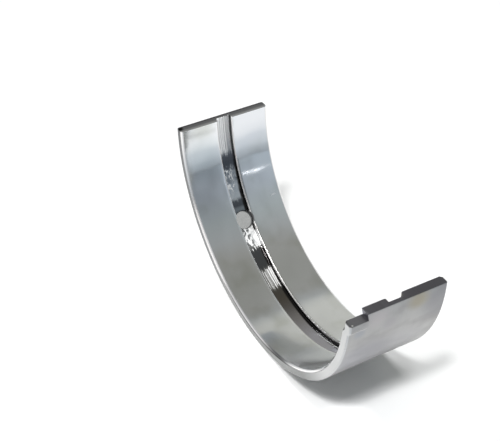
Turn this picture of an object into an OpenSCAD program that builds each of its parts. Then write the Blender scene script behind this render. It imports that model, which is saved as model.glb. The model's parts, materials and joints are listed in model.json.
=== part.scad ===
// Half shell of a plain main bearing: a thin half ring with an oil groove round its bore,
// a drilled oil hole and a locating tang pressed out of the wall at one joint face.
// The bearing axis runs along Y, both joint faces lie at Z = 0 and the round back is below them.

/* [Half ring] */
// Diameter of the bore, which is the journal with its oil clearance
bore_d = 60.05; // [40:0.05:90]
// Thickness of the wall, from the bore to the back
wall_t = 1.975; // [1.6:0.005:3]
// Width of the shell along the bearing axis
shell_w = 19.6; // [14:0.1:40]
// Chamfer along both edges of the bore
bore_chamfer = 0.45; // [0.2:0.05:0.8]
// Edge break along both edges of the back
back_break = 0.25; // [0.1:0.05:0.5]

/* [Oil groove] */
// Width between the side walls of the groove
groove_w = 3.1; // [2:0.1:5]
// Depth of the groove floor below the bore
groove_depth = 1; // [0.6:0.05:1.2]
// Edge break along both lips of the groove
groove_break = 0.25; // [0.1:0.05:0.4]

/* [Oil hole] */
// Diameter of the drilled hole
oil_hole_d = 3.8; // [2.5:0.1:6]
// Angle of the hole round the bore, from the plain joint face
oil_hole_angle = 43; // [25:1:150]

/* [Locating tang] */
// Width of the tang along the bearing axis, from the side face inwards
tang_w = 3.6; // [2.5:0.1:5]
// Reach of the tang down the back, from the joint face
tang_reach = 3.4; // [2.6:0.1:5]
// Height by which the tang is pressed out of the back
tang_proud = 0.5; // [0.3:0.05:1]
// Depth of the tang's end below the joint face
tang_setback = 0.9; // [0.3:0.05:1.2]
// Length of the ramp at the foot of the tang
tang_ramp = 1.1; // [0.6:0.1:1.4]

/* [Hidden] */
// Fineness of the round surfaces
$fn = 180;
// Overshoot of every cut past the surface that it leaves
cut = 1;
// Factor by which the tang's ramp runs on past its foot
ramp_overrun = 1.4;
half_turn = 180;
quarter_turn = 90;
bore_r = bore_d / 2;
back_r = bore_r + wall_t;
groove_floor_r = bore_r + groove_depth;
side_y = shell_w / 2;
groove_y = groove_w / 2;
tang_inner_y = tang_w - side_y;
// Angle that turns the Z axis to the direction of the oil hole, seen along the bearing axis
oil_hole_turn = half_turn + quarter_turn - oil_hole_angle;

// Section of the wall: distance from the bearing axis, then distance along it
module wall_section() {
    polygon([
        [bore_r, bore_chamfer - side_y],
        [bore_r + bore_chamfer, -side_y],
        [back_r - back_break, -side_y],
        [back_r, back_break - side_y],
        [back_r, side_y - back_break],
        [back_r - back_break, side_y],
        [bore_r + bore_chamfer, side_y],
        [bore_r, side_y - bore_chamfer],
        [bore_r, groove_y + groove_break],
        [bore_r + groove_break, groove_y],
        [groove_floor_r, groove_y],
        [groove_floor_r, -groove_y],
        [bore_r + groove_break, -groove_y],
        [bore_r, -groove_y - groove_break]
    ]);
}

// The wall section swept through the lower half turn
module half_ring() {
    rotate([-quarter_turn, 0, 0])
        rotate_extrude(angle = half_turn)
            wall_section();
}

// Distance from the bearing axis plane at which an arc of radius r lies at the tang's foot
function foot_x(r) = sqrt(r * r - tang_reach * tang_reach);

// Outline of the pressed step over a surface of radius r: a flat, then a ramp down to the surface.
// It reaches up to top and inwards to inner_x.
module pressed_step(r, inner_x, top) {
    flat_x = r + tang_proud;
    ramp_z = tang_ramp - tang_reach;
    end_x = flat_x + ramp_overrun * (foot_x(r) - flat_x);
    end_z = ramp_z - ramp_overrun * tang_ramp;
    polygon([
        [inner_x, top],
        [flat_x, top],
        [flat_x, ramp_z],
        [end_x, end_z],
        [inner_x, end_z]
    ]);
}

// Carries an outline in X and Z along Y from one place to another
module along_axis(from_y, to_y) {
    translate([0, to_y, 0])
        rotate([quarter_turn, 0, 0])
            linear_extrude(height = to_y - from_y)
                children();
}

// Metal that the press moves out of the back
module tang_outside() {
    along_axis(-side_y, tang_inner_y)
        pressed_step(back_r, back_r - wall_t / 2, -tang_setback);
}

// Hollow that the press leaves in the bore, open to the joint face and to the side face
module tang_hollow() {
    along_axis(-side_y - cut, tang_inner_y)
        pressed_step(bore_r, bore_r - wall_t, cut);
}

// Space above the tang's end, down from the joint face
module tang_end_space() {
    translate([bore_r - cut, -side_y - cut, -tang_setback])
        cube([wall_t + tang_proud + 2 * cut, tang_w + cut, tang_setback + cut]);
}

// Drilling through the wall and the groove, square to the bore
module oil_hole() {
    rotate([0, oil_hole_turn, 0])
        translate([0, 0, bore_r - cut])
            cylinder(d = oil_hole_d, h = wall_t + 2 * cut);
}

module bearing_shell() {
    color("silver")
        difference() {
            union() {
                half_ring();
                tang_outside();
            }
            tang_hollow();
            tang_end_space();
            oil_hole();
        }
}

bearing_shell();
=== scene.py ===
"""Looks of an engine bearing shell: one half of a plain main bearing lying on its back on white paper.

The shell's wall section is carried round the bearing axis as two rails, one for the bore side and
one for the back. Sizes are in millimetres and turn to metres as the mesh is made. The bearing axis
is Y, the joint faces lie at Z = 0 and the tang is at the +X end. Places round the wall are given as
an arc: millimetres from the lowest line of the bore, negative towards the plain end.
"""

import json
import logging
import math
from collections.abc import Mapping, Sequence
from dataclasses import dataclass, field
from enum import Enum
from typing import Any

import bpy
import numpy as np
from mathutils import Matrix, Vector


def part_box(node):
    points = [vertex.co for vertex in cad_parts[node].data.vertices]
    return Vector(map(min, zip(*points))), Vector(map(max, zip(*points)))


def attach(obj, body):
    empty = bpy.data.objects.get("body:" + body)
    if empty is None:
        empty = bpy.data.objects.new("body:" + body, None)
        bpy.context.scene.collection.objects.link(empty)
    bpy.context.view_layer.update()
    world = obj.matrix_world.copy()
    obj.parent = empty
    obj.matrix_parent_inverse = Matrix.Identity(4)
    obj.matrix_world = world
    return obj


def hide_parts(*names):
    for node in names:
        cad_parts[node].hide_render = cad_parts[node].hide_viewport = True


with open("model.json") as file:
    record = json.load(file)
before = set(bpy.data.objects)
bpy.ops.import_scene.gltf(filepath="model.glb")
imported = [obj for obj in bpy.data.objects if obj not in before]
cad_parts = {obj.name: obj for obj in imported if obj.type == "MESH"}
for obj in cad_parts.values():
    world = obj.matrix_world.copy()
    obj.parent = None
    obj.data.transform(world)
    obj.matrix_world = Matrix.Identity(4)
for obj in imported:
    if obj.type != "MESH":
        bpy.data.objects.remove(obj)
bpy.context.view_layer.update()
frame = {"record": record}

log = logging.getLogger("bearing_shell")

MM = 0.001
IMAGE_WIDTH_PX = 500
SENSOR_MM = 36.0
SHELL_NODE = "bearing_shell"
MOUNTS = {mount["name"]: mount for mount in frame["record"]["mounts"]}
JOURNAL = MOUNTS["journal_bore"]["dims"]
SEAT = MOUNTS["housing_seat"]["dims"]
HALF_WIDTH = round(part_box(SHELL_NODE)[1][1] / MM, 3)
TANG_TIP_X = round(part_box(SHELL_NODE)[1][0] / MM, 3)
GROOVE_DEPTH = 1.0
# Setting of a node that eases between its two ends
EASE = {"interpolation_type": "SMOOTHSTEP"}
# Values between which noise stays nearly everywhere
NOISE_SPREAD = (0.3, 0.7)

Colour = tuple[float, float, float, float]
Place = tuple[float, float, float]
Span = tuple[float, float]


class Zone(Enum):
    """Finished surfaces of the shell; the value is the material slot."""

    LINING = 0
    GROOVE = 1
    EDGE = 2
    JOINT = 3
    BACK = 4
    DRILLING = 5
    SIDE = 6


def linear(code: str) -> Colour:
    """Turn an sRGB colour into the linear values that shaders take.

    Args:
        code: Colour as a hash and six hex digits.

    Returns:
        Linear red, green and blue, and an alpha of one.
    """
    parts = [int(code[at : at + 2], 16) / 255.0 for at in (1, 3, 5)]
    red, green, blue = (
        part / 12.92 if part <= 0.04045 else ((part + 0.055) / 1.055) ** 2.4 for part in parts
    )
    return (red, green, blue, 1.0)


def add_node(
    tree: bpy.types.NodeTree,
    kind: str,
    inputs: Mapping[str | int, Any] | Sequence[Any] = (),
    stops: Sequence[tuple[float, Colour]] = (),
    **settings: Any,
) -> bpy.types.Node:
    """Add one node, give it its settings, and link or set its inputs.

    A Mix node has its share at input 0, two numbers at 2 and 3, and two colours at 6 and 7.

    Args:
        tree: Node tree that takes the node.
        kind: Blender's name of the node, without the ShaderNode in front.
        inputs: By name, number or order, a plain value or what to link from: a socket, or a node,
            which stands for its first live output.
        stops: Places and colours of a colour ramp, in rising order.
        settings: Properties of the node by name.

    Returns:
        The new node.
    """
    node = tree.nodes.new("ShaderNode" + kind)
    for name, value in settings.items():
        setattr(node, name, value)
    if stops:
        elements = node.color_ramp.elements
        for _ in range(len(stops) - len(elements)):
            elements.new(1.0)
        for element, (place, colour) in zip(elements, stops):
            element.position = place
            element.color = colour
    pairs = inputs.items() if isinstance(inputs, Mapping) else enumerate(inputs)
    for name, value in pairs:
        if isinstance(value, bpy.types.Node):
            value = next(socket for socket in value.outputs if socket.enabled)
        if isinstance(value, bpy.types.NodeSocket):
            tree.links.new(value, node.inputs[name])
        else:
            node.inputs[name].default_value = value
    return node


def empty_tree(owner: bpy.types.Material | bpy.types.World) -> bpy.types.NodeTree:
    """Let a material or world use nodes, and clear those that it starts with.

    Args:
        owner: The material or world.

    Returns:
        Its node tree.
    """
    owner.use_nodes = True
    owner.node_tree.nodes.clear()
    return owner.node_tree


def into_scene(data: bpy.types.ID) -> bpy.types.Object:
    """Make an object of a mesh, lamp or camera, under the same name, and put it into the scene.

    Args:
        data: The mesh, lamp or camera.

    Returns:
        The object, at the origin.
    """
    made = bpy.data.objects.new(data.name, data)
    bpy.context.scene.collection.objects.link(made)
    return made


def looking(eye: Place, aim: Place, roll_deg: float) -> Matrix:
    """Turn a camera or lamp at one place towards another.

    Args:
        eye: Where it stands, in millimetres.
        aim: Where it looks, in millimetres.
        roll_deg: Angle by which it is turned about its line of sight.

    Returns:
        Its matrix in the world, in metres.
    """
    turn = (Vector(aim) - Vector(eye)).to_track_quat("-Z", "Y").to_matrix().to_4x4()
    roll = Matrix.Rotation(math.radians(roll_deg), 4, "Z")
    return Matrix.Translation(Vector(eye) * MM) @ turn @ roll


def smooth_step(t: np.ndarray) -> np.ndarray:
    """Ease from 0 to 1: three times t squared less twice t cubed, with t kept between 0 and 1."""
    kept = np.clip(t, 0.0, 1.0)
    return kept * kept * (3.0 - 2.0 * kept)


@dataclass
class Canvas:
    """A new metal material and the coordinates that the shell's patterns are drawn in.

    Attributes:
        name: Name of the material.
        roll_radius: Radius at which the wall is unrolled for the arc, in millimetres.
        material: The material itself.
        place: Node with the place on the piece in millimetres.
        parts: Node with that place's X, Y and Z.
        arc: Node with the distance round the wall from its lowest line, in millimetres.
        along: Socket with the distance along the bearing axis in millimetres.
    """

    name: str
    roll_radius: float = 30.0
    material: bpy.types.Material = field(init=False)
    place: bpy.types.Node = field(init=False)
    parts: bpy.types.Node = field(init=False)
    arc: bpy.types.Node = field(init=False)
    along: bpy.types.NodeSocket = field(init=False)

    def __post_init__(self) -> None:
        """Make the material; arc is the roll radius times the angle whose tangent is x over minus z."""
        self.material = bpy.data.materials.new(self.name)
        empty_tree(self.material)
        metres = self.add("TexCoord").outputs["Object"]
        self.place = self.add("VectorMath", {0: metres, "Scale": 1.0 / MM}, operation="SCALE")
        self.parts = self.add("SeparateXYZ", [self.place])
        self.along = self.parts.outputs["Y"]
        down = self.add("Math", [self.parts.outputs["Z"], -1.0], operation="MULTIPLY")
        angle = self.add("Math", [self.parts.outputs["X"], down], operation="ARCTAN2")
        self.arc = self.add("Math", [angle, self.roll_radius], operation="MULTIPLY")

    def add(self, kind: str, *inputs: Any, **settings: Any) -> bpy.types.Node:
        """Add one node to this material, as add_node does."""
        return add_node(self.material.node_tree, kind, *inputs, **settings)

    def metal(self, inputs: Mapping[str, Any]) -> bpy.types.Material:
        """End the material in a metal shader.

        Args:
            inputs: Inputs of the shader by name.

        Returns:
            The finished material.
        """
        shader = self.add("BsdfPrincipled", {"Metallic": 1.0, **inputs})
        self.add("OutputMaterial", [shader])
        return self.material


@dataclass(frozen=True)
class Grain:
    """Noise whose grains have a given size on the wall.

    Attributes:
        arc_mm: Length of a grain round the wall.
        along_mm: Length of a grain along the bearing axis.
        detail: Number of finer layers.
        seed: Offset that makes this pattern unlike the others.
        falloff: Strength of each finer layer against the one before.
    """

    arc_mm: float
    along_mm: float
    detail: float
    seed: float
    falloff: float = 0.55

    def drawn(self, canvas: Canvas) -> bpy.types.Node:
        """Draw the noise over the arc and the axis, each divided by the length of a grain.

        Args:
            canvas: Canvas of the material.

        Returns:
            Node with the noise, about 0.5 on average.
        """
        arc = canvas.add("Math", [canvas.arc, self.arc_mm], operation="DIVIDE")
        along = canvas.add("Math", [canvas.along, self.along_mm], operation="DIVIDE")
        vector = canvas.add("CombineXYZ", [arc, along, self.seed])
        layers = {"Detail": self.detail, "Roughness": self.falloff}
        return canvas.add("TexNoise", {"Vector": vector, "Scale": 1.0, **layers})


@dataclass(frozen=True)
class Patch:
    """A soft-edged mark on a surface, placed in the shell's own frame.

    Attributes:
        tint: Colour of the mark.
        centre: Place of the mark in millimetres.
        core: Radius in millimetres within which the mark is full.
        reach: Radius in millimetres at which it has faded away.
    """

    tint: str
    centre: Place
    core: float
    reach: float

    def over(self, canvas: Canvas, colour: Any) -> bpy.types.Node:
        """Lay the mark over a colour, full in the core and gone at the reach.

        Args:
            canvas: Canvas of the material.
            colour: Node or colour under the mark.

        Returns:
            Node with the marked colour.
        """
        away = canvas.add("VectorMath", [canvas.place, self.centre], operation="DISTANCE")
        shown = canvas.add("MapRange", [away, self.core, self.reach, 1.0, 0.0], **EASE)
        return canvas.add("Mix", {0: shown, 6: colour, 7: linear(self.tint)}, data_type="RGBA")


@dataclass(frozen=True)
class RubStreak:
    """A scuffed line across the lining, slanted a little round the wall. Lengths in millimetres.

    Attributes:
        arc: Place round the wall at which the line would cross the middle of the width.
        slant: Distance round the wall gained for each millimetre along the axis.
        start: Place along the axis at which the line has faded in.
        end: Place along the axis at which it has half faded out.
        thick: Half of the line's thickness.
        fade: Length over which it fades in.
        tail: Half of the length over which it fades out.
    """

    arc: float
    slant: float
    start: float
    end: float
    thick: float
    fade: float
    tail: float = 0.3

    def shown(self, canvas: Canvas) -> bpy.types.Node:
        """Say how strong the line is: one on it, fading at its ends and to either side.

        Args:
            canvas: Canvas of the material.

        Returns:
            Node with the strength.
        """
        line = canvas.add("Math", [canvas.along, self.slant, self.arc], operation="MULTIPLY_ADD")
        off = canvas.add("Math", [canvas.arc, line], operation="SUBTRACT")
        wide = canvas.add("Math", [off], operation="ABSOLUTE")
        across = canvas.add("MapRange", [wide, self.thick / 2, self.thick * 1.5, 1.0, 0.0], **EASE)
        begun = canvas.add("MapRange", [canvas.along, self.start - self.fade, self.start], **EASE)
        ends = [canvas.along, self.end - self.tail, self.end + self.tail, 1.0, 0.0]
        ended = canvas.add("MapRange", ends, **EASE)
        length = canvas.add("Math", [begun, ended], operation="MULTIPLY")
        return canvas.add("Math", [across, length], operation="MULTIPLY")


@dataclass(frozen=True)
class LiningFinish:
    """Tin-aluminium lining, fine bored: a soft mirror with hair-fine rings and a few rubbed places.

    Attributes:
        dulled: Roughness that the lower wall gains between the two dull_arcs.
        scuffed: Roughness of the rubbed streaks.
        ring_rough: Roughness by which the rings differ.
        stain_range: Noise of the cloud at which a stain begins and is full.
        stain_rough: Roughness that a stain adds.
        waves: The lining's slight swell, with wave_depth_mm as its height.
    """

    name: str = "fine_bored_lining"
    metal: str = "#EDEFF2"
    stain: str = "#DCDEDC"
    roughness: float = 0.09
    dulled: float = 0.12
    dull_arcs: Span = (-2.0, 12.0)
    scuffed: float = 0.42
    rings: Grain = Grain(40.0, 0.45, 3.0, 1.7)
    ring_depth_mm: float = 0.0004
    ring_rough: float = 0.04
    cloud: Grain = Grain(7.0, 7.0, 2.0, 5.3)
    stain_range: Span = (0.45, 0.75)
    stain_rough: float = 0.03
    waves: Grain = Grain(7.0, 7.0, 1.0, 14.6)
    wave_depth_mm: float = 0.08
    streaks: tuple[RubStreak, ...] = (RubStreak(-26.4, -0.165, 7.6, 8.4, 0.16, 0.8),)
    # The marks are painted shade: two soft darker places near the plain end's top that dim the lining's
    # reflection.
    marks: tuple[Patch, ...] = (
        Patch("#D2D7DA", (-29.2, -5.5, -7.0), 1.5, 6.5),
        Patch("#E0E2E6", (-30.0, 5.5, -2.5), 3.0, 8.5),
    )

    def material(self) -> bpy.types.Material:
        """Draw the rings as long thin grains, the stains as round ones and the streaks as lines.

        Returns:
            The finished material.
        """
        # A boring tool leaves rings a few hundredths apart, which the eye sees as a silky mirror.
        # They are drawn at 0.45 mm, and the swell deeper than it is, so that both show.
        canvas = Canvas(self.name)
        rings = self.rings.drawn(canvas)
        cloud = self.cloud.drawn(canvas)
        stained = canvas.add("MapRange", [cloud, *self.stain_range], **EASE)
        tones = {0: stained, 6: linear(self.metal), 7: linear(self.stain)}
        colour = canvas.add("Mix", tones, data_type="RGBA")
        # Painted shade: the marks dim the reflection near the plain end.
        for mark in self.marks:
            colour = mark.over(canvas, colour)
        least = self.roughness - self.ring_rough / 2
        ringed = canvas.add("Math", [rings, self.ring_rough, least], operation="MULTIPLY_ADD")
        rough = canvas.add("Math", [stained, self.stain_rough, ringed], operation="MULTIPLY_ADD")
        dull = canvas.add("MapRange", [canvas.arc, *self.dull_arcs, 0.0, self.dulled], **EASE)
        rough = canvas.add("Math", [rough, dull], operation="ADD")
        for streak in self.streaks:
            scuff = {0: streak.shown(canvas), 2: rough, 3: self.scuffed}
            rough = canvas.add("Mix", scuff, data_type="FLOAT")
        relief = canvas.add("Bump", {"Height": rings, "Distance": self.ring_depth_mm * MM})
        swell = {"Height": self.waves.drawn(canvas), "Distance": self.wave_depth_mm * MM}
        relief = canvas.add("Bump", {**swell, "Normal": relief})
        return canvas.metal({"Base Color": colour, "Roughness": rough, "Normal": relief})


@dataclass(frozen=True)
class GrooveFinish:
    """Oil groove, turned into the lining: bare scuffed metal and dark oil film by turns, partly painted
    reflection.

    Places along the axis are read from the middle of the groove, in millimetres.

    Attributes:
        ring_range: Noise of the rings at which a ring begins to fade and is gone.
        curl_range: Distance of the curls' noise from one half at which a curl does so.
        gap_range: Noise of the gaps at which a curl begins to show and is full.
        curl_y: Places along the axis between which the curls fade to the share in curl_left.
        tooth_reach_mm: How far the teeth at the end of a run reach round the wall.
        end_arc: Arc of the joint faces, at which the runs and films begin and end.
        curled_arcs: Arcs between which the marks are curls.
        bare_wall_arcs: Arcs between which the walls are as bare as the floor.
        arc_fade_mm: Half of the length over which such a stretch fades in and out.
        floor_edge: Places along the axis between which bare metal stops.
        thread_y: Place along the axis of the bright thread in the far corner.
        thread_mm: Distances from it between which it fades.
        thread_arcs: Arcs between which it begins.
        shade_arcs: Two pairs of arcs between which the painted shade along the far wall narrows or
            widens.
        shade_from: Place along the axis at which that painted shade begins before, between and after
            them.
        shade_fade_mm: Distance over which it fades in.
        scuff_range: Share of bare metal between which the roughness rises.
        runs: Arcs round the wall, the share of bare metal, partly painted highlight, and the marks'
            strength.
        films: Places round the wall as arcs, and the colour there: oil film and painted reflection.
    """

    name: str = "turned_groove"
    bare: str = "#F4F4F4"
    # Colour of the painted shade along the far wall.
    wall: str = "#3A3838"
    roughness: float = 0.16
    scuffed: float = 0.55
    scuff_range: Span = (0.3, 0.9)
    rings: Grain = Grain(30.0, 0.25, 2.0, 3.1)
    ring_depth_mm: float = 0.002
    ring_range: Span = (0.42, 0.62)
    curls: Grain = Grain(1.5, 0.9, 1.5, 11.3)
    curl_range: Span = (0.05, 0.14)
    curl_y: Span = (-0.3, 1.0)
    curl_left: float = 0.35
    gaps: Grain = Grain(1.0, 0.6, 2.0, 21.9)
    gap_range: Span = (0.34, 0.54)
    teeth: Grain = Grain(25.0, 0.25, 1.0, 8.2)
    tooth_reach_mm: float = 2.6
    end_arc: float = 47.2
    curled_arcs: Span = (-38.8, -16.0)
    bare_wall_arcs: Span = (-21.9, -18.5)
    arc_fade_mm: float = 0.4
    floor_edge: Span = (1.28, 1.5)
    thread_y: float = 1.1
    thread_mm: Span = (0.1, 0.2)
    thread_arcs: Span = (4.0, 7.0)
    shade_arcs: tuple[Span, Span] = ((-38.0, -30.0), (2.0, 8.0))
    shade_from: tuple[float, float, float] = (1.3, 0.85, 1.23)
    shade_fade_mm: float = 0.3
    runs: tuple[tuple[float, float, float], ...] = (
        (-47.0, 1.0, 0.7),
        (-39.3, 1.0, 0.75),
        (-38.5, 0.0, 0.0),
        (-36.2, 0.0, 0.0),
        (-35.4, 0.0, 0.95),
        (-31.6, 0.0, 0.95),
        (-30.8, 0.0, 0.4),
        (-29.2, 0.0, 0.5),
        (-28.6, 0.0, 0.0),
        (-25.4, 0.0, 0.0),
        (-24.8, 1.0, 0.75),
        (-18.6, 1.0, 0.6),
        (-18.0, 0.0, 0.0),
        (-13.8, 0.0, 0.0),
        (-13.2, 1.0, 0.55),
        (-9.2, 1.0, 0.6),
        (-8.4, 0.0, 0.0),
    )
    films: tuple[tuple[float, str], ...] = (
        (-47.0, "#5D6066"),
        (-35.8, "#5D6066"),
        (-34.8, "#92979D"),
        (-32.9, "#92979D"),
        (-32.2, "#D0D4D9"),
        (-31.4, "#D2D6DA"),
        (-29.4, "#E2E5E8"),
        (-28.8, "#6C6F75"),
        (-27.6, "#65686E"),
        (-27.1, "#A0A5AB"),
        (-26.0, "#65686E"),
        (-14.0, "#67696D"),
        (-6.0, "#726C65"),
        (0.0, "#8C898B"),
        (6.0, "#B2B1BA"),
        (47.0, "#B4B2B2"),
    )

    def ramp(self, canvas: Canvas, arc: Any, stops: Sequence[tuple[float, Colour]]) -> bpy.types.Node:
        """Lay colours round the groove at the given arcs, from one joint face to the other.

        Args:
            canvas: Canvas of the material.
            arc: Node with the arc that is read.
            stops: Arcs and colours.

        Returns:
            Node with the colour.
        """
        share = canvas.add("MapRange", [arc, -self.end_arc, self.end_arc])
        whole = 2.0 * self.end_arc
        placed = [((place + self.end_arc) / whole, colour) for place, colour in stops]
        return canvas.add("ValToRGB", [share], placed)

    def within(self, canvas: Canvas, arcs: Span) -> bpy.types.Node:
        """Say where a stretch of the groove lies: one between its two arcs, faded at both ends.

        Args:
            canvas: Canvas of the material.
            arcs: Arcs at which the stretch begins and ends.

        Returns:
            Node with the strength.
        """
        first, last = arcs
        fade = self.arc_fade_mm
        begun = canvas.add("MapRange", [canvas.arc, first - fade, first + fade], **EASE)
        ended = canvas.add("MapRange", [canvas.arc, last - fade, last + fade, 1.0, 0.0], **EASE)
        return canvas.add("Math", [begun, ended], operation="MULTIPLY")

    def marks(self, canvas: Canvas, rings: bpy.types.Node) -> bpy.types.Node:
        """Draw the marks: rings near the joint face and past the oil hole, and broken curls between.

        A curl is where a noise passes one half.

        Args:
            canvas: Canvas of the material.
            rings: Node with the rings' noise.

        Returns:
            Node with the strength of the marks.
        """
        ringed = canvas.add("MapRange", [rings, *self.ring_range, 1.0, 0.0], **EASE)
        past = canvas.add("Math", [self.curls.drawn(canvas), 0.5], operation="SUBTRACT")
        near = canvas.add("Math", [past], operation="ABSOLUTE")
        line = canvas.add("MapRange", [near, *self.curl_range, 1.0, 0.0], **EASE)
        gaps = canvas.add("MapRange", [self.gaps.drawn(canvas), *self.gap_range], **EASE)
        broken = canvas.add("Math", [line, gaps], operation="MULTIPLY")
        left = canvas.add("MapRange", [canvas.along, *self.curl_y, 1.0, self.curl_left], **EASE)
        curled = canvas.add("Math", [broken, left], operation="MULTIPLY")
        between = self.within(canvas, self.curled_arcs)
        return canvas.add("Mix", {0: between, 2: ringed, 3: curled}, data_type="FLOAT")

    def bare_share_and_highlight(self, canvas: Canvas, marks: bpy.types.Node) -> bpy.types.Node:
        """Say where the metal is bare: by the size of a run's share less the mark that crosses it.

        Each run ends in fine teeth, and a thin thread in the far corner is bare as well.

        Args:
            canvas: Canvas of the material.
            marks: Node with the strength of the marks.

        Returns:
            Node with the share of bare metal.
        """
        uneven = canvas.add("Math", [self.teeth.drawn(canvas), 0.5], operation="SUBTRACT")
        teeth = [uneven, self.tooth_reach_mm, canvas.arc]
        ragged = canvas.add("Math", teeth, operation="MULTIPLY_ADD")
        shares = [(place, (bare, mark, 0.0, 1.0)) for place, bare, mark in self.runs]
        runs = canvas.add("SeparateColor", [self.ramp(canvas, ragged, shares)])
        marked = canvas.add("Math", [marks, runs.outputs["Green"]], operation="MULTIPLY")
        apart = canvas.add("Math", [runs.outputs["Red"], marked], operation="SUBTRACT")
        bare_share_and_highlight = canvas.add("Math", [apart], operation="ABSOLUTE")
        wide = canvas.add("Math", [canvas.along], operation="ABSOLUTE")
        on_floor = canvas.add("MapRange", [wide, *self.floor_edge, 1.0, 0.0], **EASE)
        bare_wall = self.within(canvas, self.bare_wall_arcs)
        clear = canvas.add("Math", [on_floor, bare_wall], operation="MAXIMUM")
        shown = canvas.add("Math", [bare_share_and_highlight, clear], operation="MULTIPLY")
        off = canvas.add("Math", [canvas.along, self.thread_y], operation="SUBTRACT")
        beside = canvas.add("Math", [off], operation="ABSOLUTE")
        thin = canvas.add("MapRange", [beside, *self.thread_mm, 1.0, 0.0], **EASE)
        begun = canvas.add("MapRange", [canvas.arc, *self.thread_arcs], **EASE)
        thread = canvas.add("Math", [thin, begun], operation="MULTIPLY")
        return canvas.add("Math", [shown, thread], operation="MAXIMUM")

    def material(self) -> bpy.types.Material:
        """Lay film and rubbed bare metal round the groove, partly painted reflection, and paint shade
        on its far wall.

        Returns:
            The finished material.
        """
        # Oil stays in the turned floor as a dark glossy film; where it is rubbed off, the metal is
        # white. Film and bare metal also stand where the groove shows dark and bright reflections, so
        # they are partly painted reflection. The tool's rings are about a tenth apart and drawn at
        # 0.25 mm so that they show.
        canvas = Canvas(self.name)
        rings = self.rings.drawn(canvas)
        # Partly painted reflection: the bare and filmed stretches round the groove.
        shown = self.bare_share_and_highlight(canvas, self.marks(canvas, rings))
        film = self.ramp(canvas, canvas.arc, [(place, linear(tint)) for place, tint in self.films])
        # Painted shade: the floor turns to the wall colour along the far wall, over a width that
        # changes round the groove.
        (first, second), (before, between, after) = self.shade_arcs, self.shade_from
        far_wall_shade_from = canvas.add("MapRange", [canvas.arc, *first, before, between], **EASE)
        moved = canvas.add("MapRange", [canvas.arc, *second, 0.0, after - between], **EASE)
        far_wall_shade_from = canvas.add("Math", [far_wall_shade_from, moved], operation="ADD")
        past = canvas.add("Math", [canvas.along, far_wall_shade_from], operation="SUBTRACT")
        dark = canvas.add("MapRange", [past, 0.0, self.shade_fade_mm], **EASE)
        film = canvas.add("Mix", {0: dark, 6: film, 7: linear(self.wall)}, data_type="RGBA")
        colour = canvas.add("Mix", {0: shown, 6: film, 7: linear(self.bare)}, data_type="RGBA")
        ends = [shown, *self.scuff_range, self.roughness, self.scuffed]
        rough = canvas.add("MapRange", ends, **EASE)
        relief = canvas.add("Bump", {"Height": rings, "Distance": self.ring_depth_mm * MM})
        return canvas.metal({"Base Color": colour, "Roughness": rough, "Normal": relief})


@dataclass(frozen=True)
class EdgeFinish:
    """Bore chamfers and groove lips, turned last: bright clean metal, with painted shade along a
    chamfer's inner edge and outer rim.

    Attributes:
        inner: Painted shade: colour along the inner edge of a chamfer, which fades between the two
            inner_shade_y.
        rim: Painted shade: colour along its outer edge, which fades in between the two rim_shade_y.
        roughness: Least and greatest roughness of the chamfers.
        lips_y: Place along the axis that parts the groove's lips from the chamfers.
        rim_shade_arcs: Arcs between which the rim's painted shade begins, to end at the share in
            rim_shade_share.
    """

    name: str = "bright_turned_chamfer"
    metal: str = "#F0EEED"
    shade: str = "#DFDDDC"
    inner: str = "#BCBCBE"
    rim: str = "#66676A"
    roughness: Span = (0.14, 0.24)
    lip_roughness: float = 0.42
    marks: Grain = Grain(9.0, 0.3, 3.0, 2.4)
    lips_y: float = 5.0
    inner_shade_y: Span = (HALF_WIDTH - 0.35, HALF_WIDTH - 0.22)
    rim_shade_y: Span = (HALF_WIDTH - 0.14, HALF_WIDTH - 0.09)
    rim_shade_arcs: Span = (-18.0, -6.0)
    rim_shade_share: float = 0.85

    def material(self) -> bpy.types.Material:
        """Draw lathe marks that run round the edge, and paint shade along the chamfers' inner edge and
        the lower wall's rim.

        Returns:
            The finished material.
        """
        # A sharp tool leaves a chamfer almost bright, so the eye sees it as a white line. Its marks
        # are finer than 0.1 mm and drawn at 0.3 mm so that they show. The lips are rubbed duller.
        canvas = Canvas(self.name)
        marks = self.marks.drawn(canvas)
        tones = {0: marks, 6: linear(self.shade), 7: linear(self.metal)}
        colour = canvas.add("Mix", tones, data_type="RGBA")
        wide = canvas.add("Math", [canvas.along], operation="ABSOLUTE")
        chamfer = canvas.add("Math", [wide, self.lips_y], operation="GREATER_THAN")
        # Painted shade: a darker band along each chamfer's inner edge.
        inner_shade_band = canvas.add("MapRange", [wide, *self.inner_shade_y, 1.0, 0.0], **EASE)
        dulled = canvas.add("Math", [chamfer, inner_shade_band], operation="MULTIPLY")
        colour = canvas.add("Mix", {0: dulled, 6: colour, 7: linear(self.inner)}, data_type="RGBA")
        # Painted shade: a dark line along the outer rim of the lower wall.
        rim_shade_band = canvas.add("MapRange", [wide, *self.rim_shade_y], **EASE)
        low = canvas.add("MapRange", [canvas.arc, *self.rim_shade_arcs, 0.0, self.rim_shade_share], **EASE)
        shown = canvas.add("Math", [rim_shade_band, low], operation="MULTIPLY")
        colour = canvas.add("Mix", {0: shown, 6: colour, 7: linear(self.rim)}, data_type="RGBA")
        rough = canvas.add("MapRange", [marks, *NOISE_SPREAD, *self.roughness], **EASE)
        worn = {0: chamfer, 2: self.lip_roughness, 3: rough}
        rough = canvas.add("Mix", worn, data_type="FLOAT")
        return canvas.metal({"Base Color": colour, "Roughness": rough})


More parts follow.
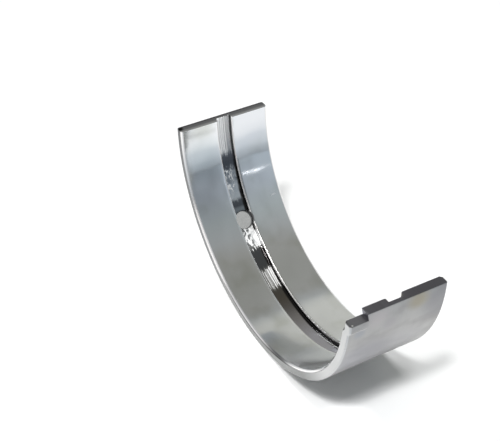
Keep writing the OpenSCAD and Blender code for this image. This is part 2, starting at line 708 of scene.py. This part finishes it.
@dataclass(frozen=True)
class SideFinish:
    """Side faces and edge breaks of the back, turned: dull steel, with painted light at the tang end
    and painted shade at the plain end.

    Attributes:
        painted_light: Painted light: colour that the face takes on between the two painted_light_arcs,
            to the share in painted_light_share.
        film: Painted shade: colour that fades away between the two painted_shade_arcs.
        roughness: Least and greatest roughness.
        tone_range: Noise over which the shade turns to the metal's colour.
    """

    name: str = "turned_side_face"
    metal: str = "#8A8B8A"
    shade: str = "#7C7D7C"
    painted_light: str = "#BEBEBE"
    painted_light_arcs: Span = (18.0, 31.0)
    painted_light_share: float = 0.9
    film: str = "#5A5B5E"
    painted_shade_arcs: Span = (-26.0, -6.0)
    painted_shade_share: float = 0.8
    roughness: Span = (0.25, 0.38)
    marks: Grain = Grain(12.0, 0.3, 3.0, 2.9)
    cloud: Grain = Grain(4.0, 4.0, 2.0, 7.4)
    tone_range: Span = (0.15, 0.35)

    def material(self) -> bpy.types.Material:
        """Draw lathe marks that run round the face, paint light in towards the tang end and paint shade
        in towards the plain end.

        Returns:
            The finished material.
        """
        # Turned steel that was not finished further: the eye sees a matt grey with faint rings,
        # which are drawn at 0.3 mm, coarser than they are, so that they show.
        canvas = Canvas(self.name)
        marks = self.marks.drawn(canvas)
        mixed = canvas.add("Math", [marks, self.cloud.drawn(canvas)], operation="MULTIPLY")
        tone = canvas.add("MapRange", [mixed, *self.tone_range])
        tones = {0: tone, 6: linear(self.shade), 7: linear(self.metal)}
        colour = canvas.add("Mix", tones, data_type="RGBA")
        # Painted light: the face turns paler towards the tang end.
        paler = canvas.add("MapRange", [canvas.arc, *self.painted_light_arcs, 0.0, self.painted_light_share], **EASE)
        colour = canvas.add("Mix", {0: paler, 6: colour, 7: linear(self.painted_light)}, data_type="RGBA")
        # Painted shade: the face turns darker towards the plain end.
        plain_end_shade = canvas.add("MapRange", [canvas.arc, *self.painted_shade_arcs, self.painted_shade_share, 0.0], **EASE)
        colour = canvas.add("Mix", {0: plain_end_shade, 6: colour, 7: linear(self.film)}, data_type="RGBA")
        rough = canvas.add("MapRange", [marks, *NOISE_SPREAD, *self.roughness], **EASE)
        return canvas.metal({"Base Color": colour, "Roughness": rough})


@dataclass(frozen=True)
class JointFinish:
    """Joint faces, broached across the wall: dark dull steel with short lines from bore to back.

    Attributes:
        roughness: Least and greatest roughness.
        plain_end: Distances from the bearing axis, and the colour of the plain end there.
    """

    name: str = "broached_joint_face"
    metal: str = "#76757B"
    shade: str = "#636268"
    roughness: Span = (0.36, 0.5)
    lines: Grain = Grain(30.0, 0.35, 3.0, 6.6)
    line_depth_mm: float = 0.004
    plain_end: tuple[tuple[float, str], ...] = (
        (29.9, "#B9B9BC"),
        (30.4, "#AFAFB2"),
        (30.8, "#858589"),
        (31.5, "#7B7B7F"),
        (31.8, "#444448"),
    )
    # The marks darken the far part of the tang end's face, paint a shadow into the plain end's near
    # corner, lighten the tang's end, and paint a glint at the tang's outer corner.
    marks: tuple[Patch, ...] = (
        Patch("#66656B", (31.0, 6.0, 0.0), 2.0, 6.0),
        Patch("#161618", (-31.3, -9.45, 0.0), 0.3, 0.9),
        Patch("#858489", (31.6, -7.6, -0.9), 1.7, 2.2),
        Patch("#F2F2F2", (32.1, -9.2, -0.9), 0.08, 0.22),
    )

    def material(self) -> bpy.types.Material:
        """Draw the broach's lines across the wall, and grade the plain end from bore to back.

        Returns:
            The finished material.
        """
        # A broach tears the steel a little, so the eye sees a dark grey face with short lines, drawn
        # at 0.35 mm, coarser than they are, so that they show. The plain end is brighter than the tang
        # end, most of all along the bore.
        canvas = Canvas(self.name)
        lines = self.lines.drawn(canvas)
        tones = {0: lines, 6: linear(self.shade), 7: linear(self.metal)}
        torn = canvas.add("Mix", tones, data_type="RGBA")
        first, last = self.plain_end[0][0], self.plain_end[-1][0]
        out = canvas.add("MapRange", [canvas.parts.outputs["X"], -first, -last])
        stops = [((place - first) / (last - first), linear(tint)) for place, tint in self.plain_end]
        rubbed = canvas.add("ValToRGB", [out], stops)
        tang_end = canvas.add("Math", [canvas.arc, 0.0], operation="GREATER_THAN")
        colour = canvas.add("Mix", {0: tang_end, 6: rubbed, 7: torn}, data_type="RGBA")
        # The marks include a painted shadow and a painted glint.
        for mark in self.marks:
            colour = mark.over(canvas, colour)
        rough = canvas.add("MapRange", [lines, *NOISE_SPREAD, *self.roughness], **EASE)
        relief = canvas.add("Bump", {"Height": lines, "Distance": self.line_depth_mm * MM})
        return canvas.metal({"Base Color": colour, "Roughness": rough, "Normal": relief})


@dataclass(frozen=True)
class BackFinish:
    """Steel back, cold rolled: satin grey with faint rolling lines, hand smudges and a few stains.

    Attributes:
        roughness: Least and greatest roughness.
        smudge_range: Noise of the cloud at which a smudge begins and reaches the share in smudge_share.
        rough_range: Noise of the cloud between which the roughness rises.
    """

    name: str = "rolled_steel_back"
    metal: str = "#B0AFAD"
    shade: str = "#A9A8A8"
    smudge: str = "#9E9B9B"
    smudge_share: float = 0.8
    smudge_range: Span = (0.42, 0.72)
    roughness: Span = (0.29, 0.4)
    rough_range: Span = (0.35, 0.65)
    lines: Grain = Grain(22.0, 0.6, 3.0, 4.4)
    line_depth_mm: float = 0.0015
    cloud: Grain = Grain(4.2, 7.5, 3.0, 9.1)
    # The marks lighten or darken the back in places: darker at the far edge near the top and lower
    # down, with a warm stain, one lighter and two darker places just below the joint face.
    marks: tuple[Patch, ...] = (
        Patch("#979698", (31.7, 9.5, -3.2), 2.0, 6.5),
        Patch("#A3A2A4", (29.0, 1.0, -14.5), 3.0, 9.0),
        Patch("#9C9B9F", (29.8, -5.5, -12.5), 2.5, 7.5),
        Patch("#A59F91", (32.0, 4.0, -1.3), 0.6, 3.0),
        Patch("#B4B0B0", (32.0, -4.0, -1.6), 0.6, 3.4),
        Patch("#A3A4A8", (31.8, -7.4, -3.9), 0.4, 1.6),
        Patch("#A6A3A5", (31.7, -1.4, -4.4), 0.4, 2.2),
    )

    def material(self) -> bpy.types.Material:
        """Draw the rolling lines round the wall and the smudges as soft clouds.

        Returns:
            The finished material.
        """
        # Rolled strip keeps the rolls' fine lines, and the eye sees an even satin grey. The lines
        # are drawn at 0.6 mm, coarser than they are, so that they show.
        canvas = Canvas(self.name)
        lines = self.lines.drawn(canvas)
        cloud = self.cloud.drawn(canvas)
        tones = {0: lines, 6: linear(self.shade), 7: linear(self.metal)}
        colour = canvas.add("Mix", tones, data_type="RGBA")
        ends = [cloud, *self.smudge_range, 0.0, self.smudge_share]
        smudged = canvas.add("MapRange", ends, **EASE)
        colour = canvas.add("Mix", {0: smudged, 6: colour, 7: linear(self.smudge)}, data_type="RGBA")
        for mark in self.marks:
            colour = mark.over(canvas, colour)
        rough = canvas.add("MapRange", [cloud, *self.rough_range, *self.roughness], **EASE)
        relief = canvas.add("Bump", {"Height": lines, "Distance": self.line_depth_mm * MM})
        return canvas.metal({"Base Color": colour, "Roughness": rough, "Normal": relief})


@dataclass(frozen=True)
class DrillingFinish:
    """Wall of the oil hole, drilled: dull steel, its darkness partly painted shade inside the hole."""

    name: str = "drilled_steel"
    metal: str = "#4E4F51"
    shade: str = "#343537"
    roughness: float = 0.35
    bite: Grain = Grain(0.8, 0.8, 2.0, 7.7)

    def material(self) -> bpy.types.Material:
        """Draw the drill's uneven bite.

        Returns:
            The finished material.
        """
        # A drill tears the wall a little, so the eye sees an uneven grey, darkened further as painted
        # shade.
        canvas = Canvas(self.name)
        tones = {0: self.bite.drawn(canvas), 6: linear(self.shade), 7: linear(self.metal)}
        colour = canvas.add("Mix", tones, data_type="RGBA")
        return canvas.metal({"Base Color": colour, "Roughness": self.roughness})


@dataclass
class WallSection:
    """Section of the wall: the bore side with chamfers and groove, and the back with its edge breaks.

    Lengths are in millimetres, read from the bearing axis and from the middle of the width. The
    steps count the stations of a stretch with both its ends.

    Attributes:
        extra_stations: Further places along the axis at which the lining has a station.
        turn_steps: Steps of each quarter round in the groove.
        floor_steps: Steps from the middle of the groove's floor to its fillet.
        wall_steps: Steps of the groove's upright wall.
        lining_steps: Steps from the groove's lip to the chamfer.
        slack: Distance within which two places are the same.
    """

    half_width: float = HALF_WIDTH
    bore_r: float = JOURNAL["r_mm"]
    back_r: float = SEAT["r_mm"]
    bore_chamfer: float = HALF_WIDTH - JOURNAL["length_mm"] / 2
    back_break: float = HALF_WIDTH - SEAT["length_mm"] / 2
    groove_half: float = 1.55
    groove_depth: float = GROOVE_DEPTH
    groove_fillet: float = 0.14
    groove_lip: float = 0.25
    extra_stations: tuple[float, ...] = ()
    turn_steps: int = 5
    floor_steps: int = 6
    wall_steps: int = 4
    lining_steps: int = 22
    slack: float = 1e-9

    def bore_half(self) -> tuple[np.ndarray, np.ndarray, list[Zone]]:
        """Walk the bore side from the middle of the groove out to the side face.

        The floor is level, a quarter round turns it into the wall, a quarter round turns the lip
        into the bore, and the chamfer ends it.

        Returns:
            Radii, distances along the axis, and the zone of each interval.
        """
        floor_r = self.bore_r + self.groove_depth
        turn = np.linspace(0.0, math.pi / 2, self.turn_steps)[1:]
        wall_from = floor_r - self.groove_fillet
        wall_to = self.bore_r + self.groove_lip
        floor_y = np.linspace(0.0, self.groove_half - self.groove_fillet, self.floor_steps)
        fillet_r = floor_r - self.groove_fillet * (1.0 - np.cos(turn))
        fillet_y = self.groove_half - self.groove_fillet * (1.0 - np.sin(turn))
        wall_r = np.linspace(wall_from, wall_to, self.wall_steps)[1:]
        lip_r = self.bore_r + self.groove_lip * (1.0 - np.sin(turn))
        lip_y = self.groove_half + self.groove_lip * (1.0 - np.cos(turn))
        lining_end = self.half_width - self.bore_chamfer
        stations = np.linspace(lip_y[-1], lining_end, self.lining_steps)[1:]
        lining_y = np.unique(np.concatenate([stations, np.array(self.extra_stations)]))
        radii = np.concatenate(
            [
                np.full(floor_y.size, floor_r),
                fillet_r,
                wall_r,
                lip_r,
                np.full(lining_y.size, self.bore_r),
                [self.bore_r + self.bore_chamfer],
            ]
        )
        places = np.concatenate(
            [
                floor_y,
                fillet_y,
                np.full(wall_r.size, self.groove_half),
                lip_y,
                lining_y,
                [self.half_width],
            ]
        )
        zones = (
            [Zone.GROOVE] * (floor_y.size - 1 + fillet_r.size + wall_r.size)
            + [Zone.EDGE] * lip_r.size
            + [Zone.LINING] * lining_y.size
            + [Zone.EDGE]
        )
        return radii, places, zones

    def back_half(self, bore_places: np.ndarray) -> tuple[np.ndarray, np.ndarray]:
        """Give the back one station for each station of the bore side.

        The places are those of the bore side, except along the groove's upright wall, where they are
        spread evenly as far as the end of the lip, so that no two are the same.

        Args:
            bore_places: Distances along the axis of the bore side's stations.

        Returns:
            Radii and distances along the axis.
        """
        places = bore_places.copy()
        lip_end = self.groove_half + self.groove_lip
        first = int(np.argmax(places >= self.groove_half - self.slack))
        last = int(np.argmax(places >= lip_end - self.slack))
        places[first : last + 1] = np.linspace(places[first], places[last], last - first + 1)
        places[-2] = self.half_width - self.back_break
        radii = np.full(places.size, self.back_r)
        radii[-1] -= self.back_break
        return radii, places

    def rails(self) -> tuple[np.ndarray, np.ndarray, np.ndarray, np.ndarray, list[Zone]]:
        """Mirror both halves about the middle of the groove.

        Returns:
            Radii and places of the bore rail, radii and places of the back rail, and the zone of
            each interval of the bore rail.
        """
        bore_r, bore_y, zones = self.bore_half()
        back_r, back_y = self.back_half(bore_y)
        whole_r = [np.concatenate([part[:0:-1], part]) for part in (bore_r, back_r)]
        whole_y = [np.concatenate([-part[:0:-1], part]) for part in (bore_y, back_y)]
        return whole_r[0], whole_y[0], whole_r[1], whole_y[1], zones[::-1] + zones


@dataclass
class LocatingTang:
    """Tang at the +X joint face, pressed out of the wall along one side face. Lengths in millimetres.

    Attributes:
        shear: Half of the width over which the sheared side rises.
        reach: Distance of the tang's foot below the joint face.
        setback: Distance of the tang's end below the joint face.
        ramp: Length of the slope at the foot.
        shift_from_deg: Angle from the plain joint face at which the rows begin to draw together.
    """

    width: float = 3.6
    shear: float = 0.05
    reach: float = 3.4
    proud: float = TANG_TIP_X - SEAT["r_mm"]
    setback: float = 0.9
    ramp: float = 1.1
    shift_from_deg: float = 168.0

    def stations(self) -> tuple[float, float]:
        """Give the two stations between which the sheared side of the tang stands."""
        sheared = HALF_WIDTH - self.width
        return (sheared - self.shear, sheared + self.shear)

    def holds(self, places: np.ndarray) -> np.ndarray:
        """Say which stations along the axis lie in the tang."""
        return places < self.width - HALF_WIDTH

    def set_back(self, angles: np.ndarray, radii: np.ndarray) -> np.ndarray:
        """Draw the tang's rows together so that its end lies below the joint face.

        From the start angle on, each angle is scaled so that the half turn becomes the angle at which
        the arc of that radius is one setback below the joint face.

        Args:
            angles: Angles of the rows in radians, by row and station.
            radii: Radii of the stations, by row and station.

        Returns:
            The angles of the tang's stations.
        """
        start = math.radians(self.shift_from_deg)
        end = math.pi - np.arcsin(self.setback / radii)
        moved = start + (angles - start) * (end - start) / (math.pi - start)
        return np.where(angles > start, moved, angles)

    def push(self, depth: np.ndarray) -> np.ndarray:
        """Say how far the press moves the wall out: full at the end, eased to nothing at the foot.

        Args:
            depth: Distance below the joint face.

        Returns:
            Distance by which the wall moves along X.
        """
        return self.proud * smooth_step((self.reach - depth) / self.ramp)


@dataclass
class OilHole:
    """Oil hole drilled square through the wall, with both rims deburred. Lengths in millimetres.

    Attributes:
        groove_r: Distance of the groove's floor from the bearing axis.
        overlap: Distance by which a deburred rim runs on past its surface.
        inner_end: Distance from the bearing axis at which the cutter begins.
        outer_end: Distance from the bearing axis at which the cutter ends.
    """

    radius: float = MOUNTS["oil_hole"]["dims"]["r_mm"]
    outward: Place = tuple(MOUNTS["oil_hole"]["axis"])
    groove_r: float = JOURNAL["r_mm"] + GROOVE_DEPTH
    back_r: float = SEAT["r_mm"]
    deburr: float = 0.12
    overlap: float = 0.02
    inner_end: float = 28.5
    outer_end: float = 33.5
    steps: int = 72

    def cutter(self) -> bpy.types.Object:
        """Make the body that the drilling takes out: radii carried round the hole's axis.

        Returns:
            The cutter, at the origin with its place in its mesh.
        """
        wide = self.radius + self.deburr
        profile = np.array(
            [
                [self.inner_end, wide],
                [self.groove_r - self.overlap, wide],
                [self.groove_r + self.deburr, self.radius],
                [self.back_r - self.deburr, self.radius],
                [self.back_r + self.overlap, wide],
                [self.outer_end, wide],
            ]
        )
        turn = np.linspace(0.0, 2.0 * math.pi, self.steps, endpoint=False)
        outward = np.array(self.outward)
        across = np.array([-outward[2], 0.0, outward[0]])
        axial = np.array([0.0, 1.0, 0.0])
        circle = np.cos(turn)[:, None] * across + np.sin(turn)[:, None] * axial
        points = profile[:, 0, None, None] * outward + profile[:, 1, None, None] * circle[None]
        index = np.arange(points.shape[0] * self.steps).reshape(points.shape[0], self.steps)
        after = np.roll(index, -1, axis=1)
        quads = np.stack([index[:-1], index[1:], after[1:], after[:-1]], axis=-1).reshape(-1, 4)
        faces = quads.tolist() + [index[0].tolist(), index[-1, ::-1].tolist()]
        mesh = bpy.data.meshes.new("oil_hole_cutter")
        mesh.from_pydata((points.reshape(-1, 3) * MM).tolist(), [], faces)
        mesh.update()
        return into_scene(mesh)


@dataclass
class BearingShell:
    """The half shell: its wall carried through half a turn, with tang, oil hole and finishes.

    Attributes:
        plain_rows: Rows from the plain joint face to the tang's reach.
        tang_rows: Rows in the tang's reach.
        end_break: Edge break round both joint faces, in millimetres.
        sharp_deg: Angle between two faces above which their edge stays sharp.
    """

    name: str = "bearing_shell_dressed"
    tang: LocatingTang = field(default_factory=LocatingTang)
    hole: OilHole = field(default_factory=OilHole)
    section: WallSection = field(init=False)
    plain_rows: int = 230
    tang_rows: int = 60
    end_break: float = 0.07
    sharp_deg: float = 28.0

    def __post_init__(self) -> None:
        """Give the section the stations that the tang needs."""
        self.section = WallSection(extra_stations=self.tang.stations())

    def row_angles(self) -> np.ndarray:
        """Space the rows evenly, closer in the tang's reach, with one close row at each joint face.

        Returns:
            Angles from the plain joint face in radians.
        """
        close = self.end_break / self.section.back_r
        start = math.radians(self.tang.shift_from_deg)
        plain = np.linspace(close, start, self.plain_rows)
        tang = np.linspace(start, math.pi - close, self.tang_rows)[1:]
        return np.concatenate([[0.0], plain, tang, [math.pi]])

    def surface(self, radii: np.ndarray, places: np.ndarray, inset: float) -> np.ndarray:
        """Carry one rail round the axis.

        A point lies at minus radius times cosine of the angle in X and minus radius times sine in Z.
        The first and last rows are drawn into the wall by the end break, and the tang's stations are
        set back and pushed out.

        Args:
            radii: Radii of the rail's stations.
            places: Distances along the axis of the rail's stations.
            inset: End break, positive where the wall lies outside the rail.

        Returns:
            Points by row and station, in millimetres.
        """
        angles = self.row_angles()[:, None] + np.zeros_like(radii)[None]
        reach = radii[None] + np.zeros_like(angles)
        along = places[None] + np.zeros_like(angles)
        ends = [0, -1]
        reach[ends] += inset
        limit = self.section.half_width - self.end_break
        along[ends] = np.clip(along[ends], -limit, limit)
        pressed = self.tang.holds(places)[None] & (angles > math.pi / 2)
        angles = np.where(pressed, self.tang.set_back(angles, reach), angles)
        across = -reach * np.cos(angles)
        height = -reach * np.sin(angles)
        across += np.where(pressed, self.tang.push(-height), 0.0)
        return np.stack([across, along, height], axis=-1)

    def mesh(self) -> bpy.types.Mesh:
        """Join bore rail, back rail, both side faces and both joint faces into one closed mesh.

        Returns:
            The mesh, in metres, with the zone of each face as its material slot.
        """
        bore_r, bore_y, back_r, back_y, zones = self.section.rails()
        bore = self.surface(bore_r, bore_y, self.end_break)
        back = self.surface(back_r, back_y, -self.end_break)
        rows, stations = bore.shape[:2]
        inner = np.arange(rows * stations).reshape(rows, stations)
        outer = inner + rows * stations

        def strip(a: np.ndarray, b: np.ndarray, c: np.ndarray, d: np.ndarray) -> np.ndarray:
            """Stack four corner arrays into faces."""
            return np.stack([a, b, c, d], axis=-1).reshape(-1, 4)

        bore_faces = strip(inner[:-1, :-1], inner[1:, :-1], inner[1:, 1:], inner[:-1, 1:])
        back_faces = strip(outer[:-1, :-1], outer[:-1, 1:], outer[1:, 1:], outer[1:, :-1])
        near_side = strip(inner[:-1, 0], outer[:-1, 0], outer[1:, 0], inner[1:, 0])
        far_side = strip(inner[:-1, -1], inner[1:, -1], outer[1:, -1], outer[:-1, -1])
        plain_end = strip(inner[0, :-1], inner[0, 1:], outer[0, 1:], outer[0, :-1])
        tang_end = strip(inner[-1, :-1], outer[-1, :-1], outer[-1, 1:], inner[-1, 1:])
        faces = np.concatenate([bore_faces, back_faces, near_side, far_side, plain_end, tang_end])
        bore_zone = np.tile([zone.value for zone in zones], rows - 1)
        back_row = np.full(stations - 1, Zone.BACK.value)
        back_row[[0, -1]] = Zone.SIDE.value
        slots = np.concatenate(
            [
                bore_zone,
                np.tile(back_row, rows - 1),
                np.full(len(near_side) + len(far_side), Zone.SIDE.value),
                np.full(len(plain_end) + len(tang_end), Zone.JOINT.value),
            ]
        )
        points = np.concatenate([bore.reshape(-1, 3), back.reshape(-1, 3)]) * MM
        mesh = bpy.data.meshes.new(self.name)
        mesh.from_pydata(points.tolist(), [], faces.tolist())
        mesh.polygons.foreach_set("material_index", slots.astype(np.int32))
        mesh.update()
        return mesh

    def build(self) -> bpy.types.Object:
        """Make the piece: the closed wall, then the oil hole cut through it.

        Returns:
            The piece, at the origin.
        """
        piece = into_scene(self.mesh())
        self.dress(piece)
        cutter = self.hole.cutter()
        for slot in piece.data.materials:
            cutter.data.materials.append(slot)
        whole = np.full(len(cutter.data.polygons), Zone.DRILLING.value, np.int32)
        cutter.data.polygons.foreach_set("material_index", whole)
        drill = piece.modifiers.new("oil_hole", "BOOLEAN")
        drill.operation = "DIFFERENCE"
        drill.solver = "EXACT"
        drill.object = cutter
        graph = bpy.context.evaluated_depsgraph_get()
        cut = bpy.data.meshes.new_from_object(piece.evaluated_get(graph))
        piece.modifiers.clear()
        piece.data = cut
        bpy.data.objects.remove(cutter)
        self.smooth(cut)
        return piece

    def smooth(self, mesh: bpy.types.Mesh) -> None:
        """Shade the mesh smooth and keep the edges that are sharper than the set angle.

        Args:
            mesh: The mesh to shade.
        """
        mesh.name = self.name
        mesh.shade_smooth()
        mesh.set_sharp_from_angle(angle=math.radians(self.sharp_deg))

    def dress(self, piece: bpy.types.Object) -> None:
        """Give the piece one material for each zone.

        Args:
            piece: The piece to dress.
        """
        finishes = {
            Zone.LINING: LiningFinish(),
            Zone.GROOVE: GrooveFinish(),
            Zone.EDGE: EdgeFinish(),
            Zone.JOINT: JointFinish(),
            Zone.BACK: BackFinish(),
            Zone.DRILLING: DrillingFinish(),
            Zone.SIDE: SideFinish(),
        }
        for zone in Zone:
            piece.data.materials.append(finishes[zone].material())

    def place(self, piece: bpy.types.Object) -> None:
        """Let the piece stand for the CAD solid and hang it under its body.

        Args:
            piece: The finished piece.
        """
        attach(piece, "root")
        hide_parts(SHELL_NODE)


@dataclass
class PhotoCamera:
    """Camera at the photograph's viewing angle. Lengths in millimetres, in the shell's frame."""

    eye: Place = (133.1, -80.6, 120.8)
    aim: Place = (-16.2, -1.95, -16.0)
    roll_deg: float = -1.22
    focal_px: float = 1069.0
    clip_mm: Span = (10.0, 20000.0)

    def build(self) -> bpy.types.Object:
        """Make the camera and give it to the scene.

        Returns:
            The camera.
        """
        data = bpy.data.cameras.new("photo_camera")
        data.sensor_fit = "HORIZONTAL"
        data.sensor_width = SENSOR_MM
        data.lens = self.focal_px / IMAGE_WIDTH_PX * SENSOR_MM
        data.clip_start, data.clip_end = (end * MM for end in self.clip_mm)
        camera = into_scene(data)
        camera.matrix_world = looking(self.eye, self.aim, self.roll_deg)
        bpy.context.scene.camera = camera
        return camera


@dataclass
class PaperFloor:
    """White paper under the shell, which falls off to grey far from it as a painted pool of light.
    Lengths in millimetres.

    Attributes:
        centre: Middle of the white.
        tones: Distances from the centre, and the colour of the paper there: a painted falloff of the
            light.
        core: Middle of the shell's shadow, from which the next distances are read.
        lift_edge: Distances between which the lift fades in.
        lift: Light that the paper gives off beyond them.
        core_edge: Distances between which the further lift of the near side fades in.
        near_reach: Distances between which it fades out.
        near_y: Places along the bearing axis between which it ends.
        near_lift: Light that it gives off.
    """

    level: float = -SEAT["r_mm"]
    size: float = 3000.0
    centre: Place = (-80.0, 40.0, -SEAT["r_mm"])
    tones: tuple[tuple[float, str], ...] = (
        (105.0, "#F7F7F7"),
        (126.0, "#ECEDEE"),
        (142.0, "#D4D8DC"),
        (190.0, "#C6CBD0"),
        (275.0, "#AEB4BA"),
        (400.0, "#A6ACB2"),
    )
    core: Place = (12.0, 4.0, -SEAT["r_mm"])
    lift_edge: Span = (13.0, 24.0)
    lift: float = 0.12
    core_edge: Span = (11.0, 14.5)
    near_reach: Span = (45.0, 85.0)
    near_y: Span = (-4.0, 1.0)
    near_lift: float = 0.36

    def build(self) -> bpy.types.Object:
        """Lay the paper as one flat sheet and give it its colour.

        Returns:
            The floor.
        """
        half = self.size / 2 * MM
        corners = np.array([[-half, -half], [half, -half], [half, half], [-half, half]])
        points = np.column_stack([corners, np.full(4, self.level * MM)])
        mesh = bpy.data.meshes.new("paper_floor")
        mesh.from_pydata(points.tolist(), [], [[0, 1, 2, 3]])
        mesh.update()
        mesh.materials.append(self.material())
        floor = into_scene(mesh)
        return floor

    def material(self) -> bpy.types.Material:
        """Make matt white paper, with a small lift that only the camera and mirrors see.

        Returns:
            The material.
        """
        # Matt paper looks the same from every side, and it keeps the shell's shadow under the tang end.
        # Its greying away from the centre is a painted falloff of the light, and its lift is painted
        # light: none in that shadow, more on the near side, where it washes the shadow out.
        material = bpy.data.materials.new("matt_paper")
        tree = empty_tree(material)
        metres = add_node(tree, "TexCoord").outputs["Object"]
        place = add_node(tree, "VectorMath", {0: metres, "Scale": 1.0 / MM}, operation="SCALE")
        away = add_node(tree, "VectorMath", [place, self.centre], operation="DISTANCE")
        # Painted pool of light: the paper greys with distance from the centre.
        furthest = self.tones[-1][0]
        share = add_node(tree, "Math", [away, furthest], operation="DIVIDE")
        stops = [(reach / furthest, linear(tone)) for reach, tone in self.tones]
        colour = add_node(tree, "ValToRGB", [share], stops)
        # Painted light: a lift for the camera and mirrors, none in the shell's shadow and more on the
        # near side.
        outside = add_node(tree, "VectorMath", [place, self.core], operation="DISTANCE")
        lift = add_node(tree, "MapRange", [outside, *self.lift_edge, 0.0, self.lift], **EASE)
        past_core = add_node(tree, "MapRange", [outside, *self.core_edge], **EASE)
        ends = [outside, *self.near_reach, self.near_lift, 0.0]
        close = add_node(tree, "MapRange", ends, **EASE)
        along = add_node(tree, "SeparateXYZ", [place]).outputs["Y"]
        near = add_node(tree, "MapRange", [along, *self.near_y, 1.0, 0.0], **EASE)
        beside = add_node(tree, "Math", [past_core, near], operation="MULTIPLY")
        lift = add_node(tree, "Math", [beside, close, lift], operation="MULTIPLY_ADD")
        matt = add_node(tree, "BsdfDiffuse", [colour])
        path = add_node(tree, "LightPath")
        direct = [path.outputs["Is Camera Ray"], path.outputs["Is Glossy Ray"]]
        either = add_node(tree, "Math", direct, operation="ADD")
        through = [either, path.outputs["Is Transmission Ray"]]
        seen = add_node(tree, "Math", through, operation="ADD", use_clamp=True)
        lifted = add_node(tree, "Math", [seen, lift], operation="MULTIPLY")
        glow = add_node(tree, "Emission", [colour, lifted])
        both = add_node(tree, "AddShader", [matt, glow])
        add_node(tree, "OutputMaterial", [both])
        return material


@dataclass(frozen=True)
class Softbox:
    """One soft studio lamp. Lengths in millimetres; radiance is that of its face, where 1 is white."""

    name: str
    centre: Place
    size: Span
    radiance: float
    roll_deg: float = 0.0
    aim: Place = (0.0, 0.0, -16.0)

    def build(self) -> bpy.types.Object:
        """Hang the lamp and turn it to its aim; its power is pi times its area times its radiance.

        Returns:
            The lamp.
        """
        data = bpy.data.lights.new(self.name, "AREA")
        data.shape = "RECTANGLE"
        data.size, data.size_y = (side * MM for side in self.size)
        data.energy = math.pi * data.size * data.size_y * self.radiance
        lamp = into_scene(data)
        lamp.matrix_world = looking(self.centre, self.aim, self.roll_deg)
        lamp.visible_camera = False
        return lamp


@dataclass(frozen=True)
class RoomLight:
    """Soft light of the room: grey walls, dimmer on the near side, and a paler wall at the plain end.

    Attributes:
        heights: Sine of the height above the horizon, and the colour of the walls there.
        sides: Direction along the bearing axis from -1 to 1, and the share of the light from there.
        even: Sines of the height between which the sides turn even.
        even_share: Share to which they are even above that.
        wall: Colour of the paler wall.
        towards: Direction of its middle.
        edge: Cosine of the angle from its middle at which it has faded away.
        full: Cosine of the angle within which it is full.
    """

    heights: tuple[tuple[float, str], ...] = (
        (0.0, "#B2BCC4"),
        (0.3, "#AFB7BE"),
        (0.6, "#A8AFAF"),
        (0.77, "#A4A7A6"),
        (0.87, "#9A9A95"),
        (1.0, "#90918A"),
    )
    sides: tuple[Span, ...] = (
        (-0.3, 0.1),
        (0.1, 0.16),
        (0.22, 0.42),
        (0.33, 0.57),
        (0.385, 1.0),
    )
    even: Span = (0.3, 0.9)
    even_share: float = 0.8
    wall: str = "#C8C8C1"
    towards: Place = (-0.80, 0.42, 0.43)
    edge: float = 0.85
    full: float = 0.95

    def build(self) -> bpy.types.World:
        """Grade the walls by height, mix in the paler one by the angle from its middle, and dim a side.

        Returns:
            The world.
        """
        world = bpy.data.worlds.new("room")
        tree = empty_tree(world)
        towards = add_node(tree, "TexCoord").outputs["Generated"]
        parts = add_node(tree, "SeparateXYZ", [towards])
        heights = [(height, linear(colour)) for height, colour in self.heights]
        walls = add_node(tree, "ValToRGB", [parts.outputs["Z"]], heights)
        middle = Vector(self.towards).normalized()
        facing = add_node(tree, "VectorMath", [towards, middle], operation="DOT_PRODUCT")
        paler = add_node(tree, "MapRange", [facing, self.edge, self.full], **EASE)
        colour = add_node(tree, "Mix", {0: paler, 6: walls, 7: linear(self.wall)}, data_type="RGBA")
        side = add_node(tree, "MapRange", [parts.outputs["Y"], -1.0, 1.0])
        shares = [((place + 1.0) / 2.0, (share, share, share, 1.0)) for place, share in self.sides]
        level = add_node(tree, "ValToRGB", [side], shares)
        ends = [parts.outputs["Z"], *self.even, 0.0, self.even_share]
        evened = add_node(tree, "MapRange", ends, **EASE)
        level = add_node(tree, "Mix", {0: evened, 2: level, 3: 1.0}, data_type="FLOAT")
        background = add_node(tree, "Background", [colour, level])
        add_node(tree, "OutputWorld", [background])
        bpy.context.scene.world = world
        return world


LAMPS = (
    Softbox("key_softbox", (400.0, -60.0, 1114.0), (160.0, 160.0), 70.0),
    Softbox("fill_softbox", (318.0, -413.0, 1066.0), (130.0, 130.0), 128.0),
    Softbox("side_softbox", (85.0, -606.0, 171.0), (450.0, 130.0), 1.3, -40.0),
    Softbox("left_softbox", (-482.0, -688.0, 297.5), (700.0, 250.0), 0.9),
    Softbox("low_strip", (639.2, 279.7, 116.0), (22.0, 5.0), 5.0, 50.0),
)


def main() -> None:
    """Build the camera, the studio and the shell, and log the shell's faces."""
    logging.basicConfig(level=logging.INFO, format="%(name)s: %(message)s")
    bpy.context.scene.view_settings.view_transform = "Standard"
    PhotoCamera().build()
    PaperFloor().build()
    RoomLight().build()
    for lamp in LAMPS:
        lamp.build()
    shell = BearingShell()
    piece = shell.build()
    shell.place(piece)
    log.info("%s: %d faces", piece.name, len(piece.data.polygons))


if __name__ == "__main__":
    main()
